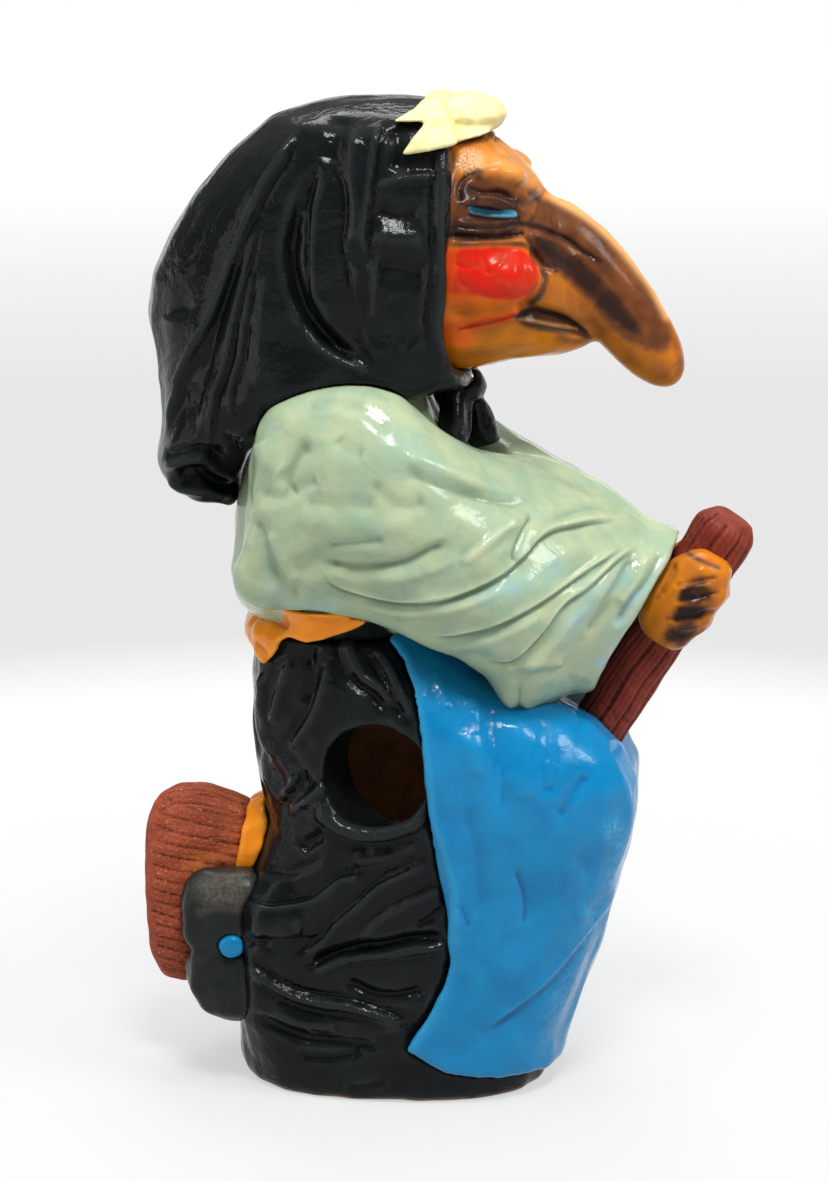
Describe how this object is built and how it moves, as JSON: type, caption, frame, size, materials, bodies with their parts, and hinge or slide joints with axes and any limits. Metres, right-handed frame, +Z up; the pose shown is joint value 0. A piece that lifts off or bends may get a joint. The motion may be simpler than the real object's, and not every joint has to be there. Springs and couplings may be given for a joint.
{
  "type": "ceramic witch utensil holder",
  "caption": "Hollow ceramic figure of a kneeling witch with a headscarf, apron and broom; kitchen utensils stand in the round hole in the hip",
  "frame": {"origin": "centre of the flat foot that the figure stands on", "axes": "+Z up, +X the way the figure faces, +Y to her left; the utensil hole is on her right, towards -Y"},
  "size_m": [0.1591, 0.0978, 0.2624],
  "materials": {
    "black_glaze": "gloss",
    "blue_glaze": "gloss",
    "orange_glaze": "gloss",
    "mint_glaze": "gloss",
    "amber_glaze": "gloss",
    "straw_glaze": "satin",
    "broom_wood": "satin",
    "brush_brown": "matte",
    "shoe_black": "matte"
  },
  "bodies": {
    "root": {"skirt_body": "black_glaze", "headscarf": "black_glaze", "scarf_knot": "black_glaze", "apron": "blue_glaze", "sock_right": "blue_glaze", "sock_left": "blue_glaze", "waist_sash": "orange_glaze", "broom_binding": "orange_glaze", "blouse_body": "mint_glaze", "sleeve_right": "mint_glaze", "sleeve_left": "mint_glaze", "hand_right": "amber_glaze", "hand_left": "amber_glaze", "head": "amber_glaze", "hair_fringe": "straw_glaze", "broom_handle": "broom_wood", "broom_brush": "brush_brown", "shoe_right": "shoe_black", "shoe_left": "shoe_black"}
  },
  "joints": []
}
